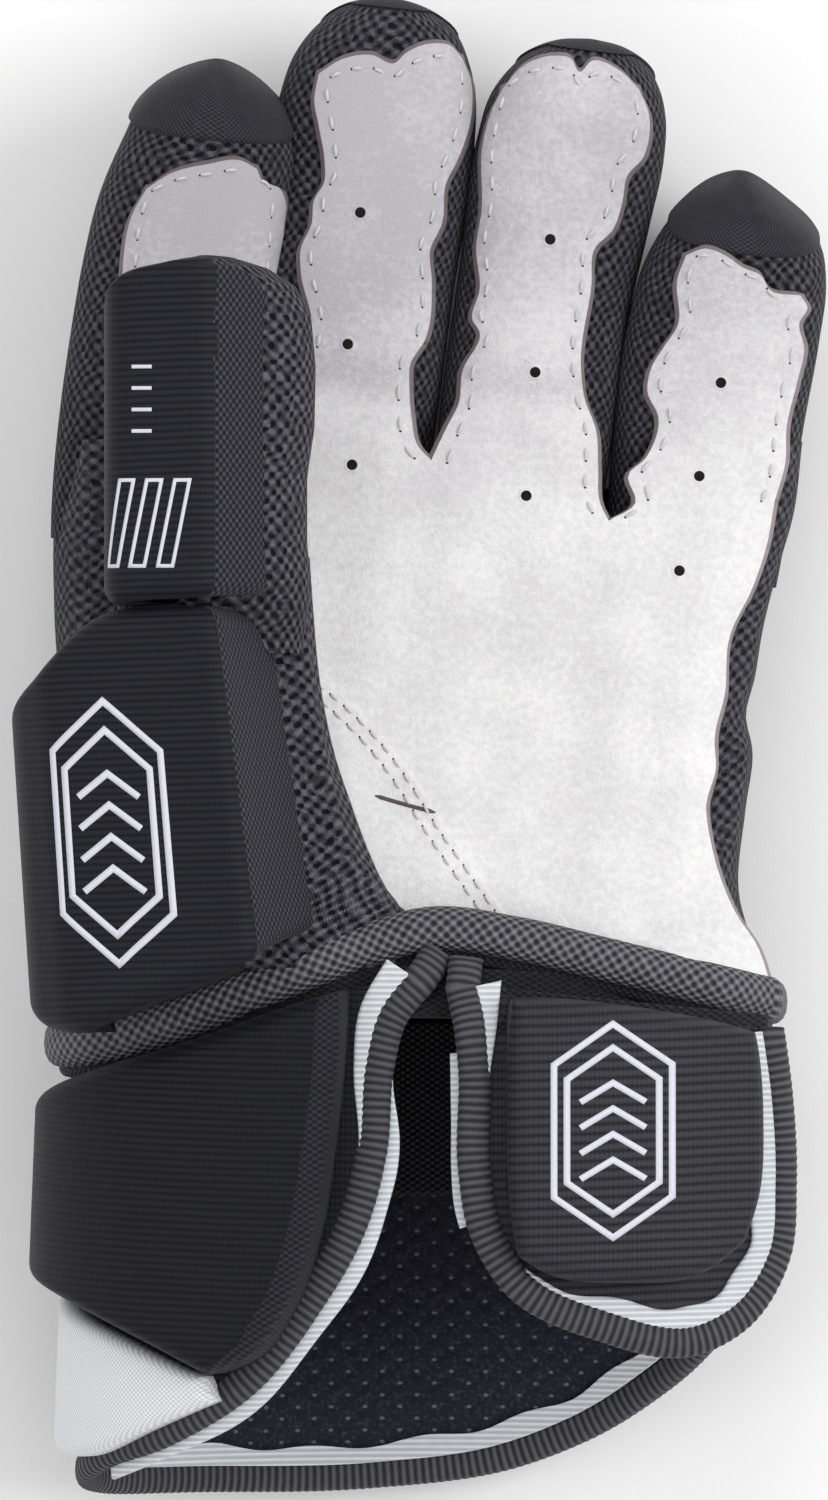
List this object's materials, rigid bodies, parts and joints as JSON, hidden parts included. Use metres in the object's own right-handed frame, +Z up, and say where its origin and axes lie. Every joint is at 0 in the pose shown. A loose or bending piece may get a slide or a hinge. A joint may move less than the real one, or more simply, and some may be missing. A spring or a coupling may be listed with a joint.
{
  "type": "ice hockey glove",
  "caption": "Padded ice hockey glove for the left hand: suede palm, hinged foam-guarded fingers and thumb, and an open wrist cuff with a side flap.",
  "frame": {"origin": "middle of the glove's length and width, on the surface that it lies on, back of the hand down", "axes": "+Z up out of the palm, +Y from the cuff to the fingertips, +X from the thumb to the little finger"},
  "size_m": [0.1378, 0.255, 0.084],
  "materials": {
    "palm_suede": "matte suede",
    "finger_suede": "matte suede",
    "pad_shell": "satin ribbed nylon over foam",
    "flap_shell": "satin ribbed nylon over foam",
    "air_mesh": "open knit mesh",
    "lining": "brushed knit",
    "woven_cap": "coarse woven nylon",
    "plastic_insert": "matte",
    "side_panel": "satin knit",
    "binding": "ribbed grosgrain",
    "tape": "satin ribbed tape"
  },
  "bodies": {
    "hand": {"palm_suede": "palm_suede", "palm_overlay": "palm_suede", "side_gusset_little": "air_mesh", "side_gusset_thumb": "air_mesh", "hand_liner": "lining", "knuckle_roll": "pad_shell", "middle_roll": "pad_shell", "lower_roll": "pad_shell", "backhand_inserts": "plastic_insert", "wrist_welt": "woven_cap"},
    "index_base": {"index_base_suede": "finger_suede", "index_base_gussets": "air_mesh", "index_base_pad": "pad_shell", "index_base_insert": "plastic_insert"},
    "index_tip": {"index_tip_suede": "finger_suede", "index_tip_gussets": "air_mesh", "index_tip_pad": "pad_shell", "index_cap": "woven_cap"},
    "middle_base": {"middle_base_suede": "finger_suede", "middle_base_gussets": "air_mesh", "middle_base_pad": "pad_shell", "middle_base_insert": "plastic_insert"},
    "middle_tip": {"middle_tip_suede": "finger_suede", "middle_tip_gussets": "air_mesh", "middle_tip_pad": "pad_shell", "middle_cap": "woven_cap"},
    "ring_base": {"ring_base_suede": "finger_suede", "ring_base_gussets": "air_mesh", "ring_base_pad": "pad_shell", "ring_base_insert": "plastic_insert"},
    "ring_tip": {"ring_tip_suede": "finger_suede", "ring_tip_gussets": "air_mesh", "ring_tip_pad": "pad_shell", "ring_cap": "woven_cap"},
    "little_base": {"little_base_suede": "finger_suede", "little_base_gussets": "air_mesh", "little_base_pad": "pad_shell", "little_base_insert": "plastic_insert"},
    "little_tip": {"little_tip_suede": "finger_suede", "little_tip_gussets": "air_mesh", "little_tip_pad": "pad_shell", "little_cap": "woven_cap"},
    "thumb_base": {"thumb_base_guard": "pad_shell", "thumb_base_insert": "plastic_insert", "thumb_base_gusset": "air_mesh"},
    "thumb_tip": {"thumb_tip_guard": "pad_shell", "thumb_tip_insert": "plastic_insert", "thumb_tip_gussets": "air_mesh", "thumb_suede": "finger_suede", "thumb_cap": "woven_cap"},
    "cuff": {"cuff_liner": "lining", "cuff_thumb_pad": "pad_shell", "cuff_back_pad": "pad_shell", "cuff_side_panel": "side_panel", "cuff_binding": "binding", "cuff_tape": "tape"},
    "cuff_flap": {"flap_liner": "lining", "flap_pad": "flap_shell", "flap_binding": "binding", "flap_tape": "tape"}
  },
  "joints": [
    {"name": "index_knuckle", "type": "hinge", "parent": "hand", "child": "index_base", "pos_m": [-0.04532, 0.04553, 0.034], "axis": [0.9945, -0.1045, 0], "range_deg": [0, 24]},
    {"name": "index_bend", "type": "hinge", "parent": "index_base", "child": "index_tip", "pos_m": [-0.04187, 0.07833, 0.03515], "axis": [0.9945, -0.1045, 0], "range_deg": [0, 55]},
    {"name": "middle_knuckle", "type": "hinge", "parent": "hand", "child": "middle_base", "pos_m": [-0.01452, 0.05153, 0.034], "axis": [0.9945, -0.1045, 0], "range_deg": [0, 40]},
    {"name": "middle_bend", "type": "hinge", "parent": "middle_base", "child": "middle_tip", "pos_m": [-0.01086, 0.08632, 0.03522], "axis": [0.9945, -0.1045, 0], "range_deg": [0, 75]},
    {"name": "ring_knuckle", "type": "hinge", "parent": "hand", "child": "ring_base", "pos_m": [0.01628, 0.04853, 0.034], "axis": [0.9923, -0.1236, 0], "range_deg": [0, 70]},
    {"name": "ring_bend", "type": "hinge", "parent": "ring_base", "child": "ring_tip", "pos_m": [0.02036, 0.08126, 0.03515], "axis": [0.9923, -0.1236, 0], "range_deg": [0, 75]},
    {"name": "little_knuckle", "type": "hinge", "parent": "hand", "child": "little_base", "pos_m": [0.04738, 0.04053, 0.034], "axis": [0.9921, -0.1253, 0], "range_deg": [0, 70]},
    {"name": "little_bend", "type": "hinge", "parent": "little_base", "child": "little_tip", "pos_m": [0.05063, 0.06626, 0.03581], "axis": [0.9921, -0.1253, 0], "range_deg": [0, 75]},
    {"name": "thumb_swing", "type": "hinge", "parent": "hand", "child": "thumb_base", "pos_m": [-0.06232, -0.04747, 0.05], "axis": [0, 0, 1], "range_deg": [0, 20]},
    {"name": "thumb_bend", "type": "hinge", "parent": "thumb_base", "child": "thumb_tip", "pos_m": [-0.04032, 0.02053, 0.059], "axis": [-1, 0, 0], "range_deg": [0, 12]},
    {"name": "cuff_flex", "type": "hinge", "parent": "hand", "child": "cuff", "pos_m": [-0.00232, -0.04897, 0.06], "axis": [-1, 0, 0], "range_deg": [0, 15]},
    {"name": "flap_swing", "type": "hinge", "parent": "cuff", "child": "cuff_flap", "pos_m": [0.03418, -0.04497, 0.054], "axis": [-0.8696, 0.111, 0.4811], "range_deg": [0, 30]}
  ]
}
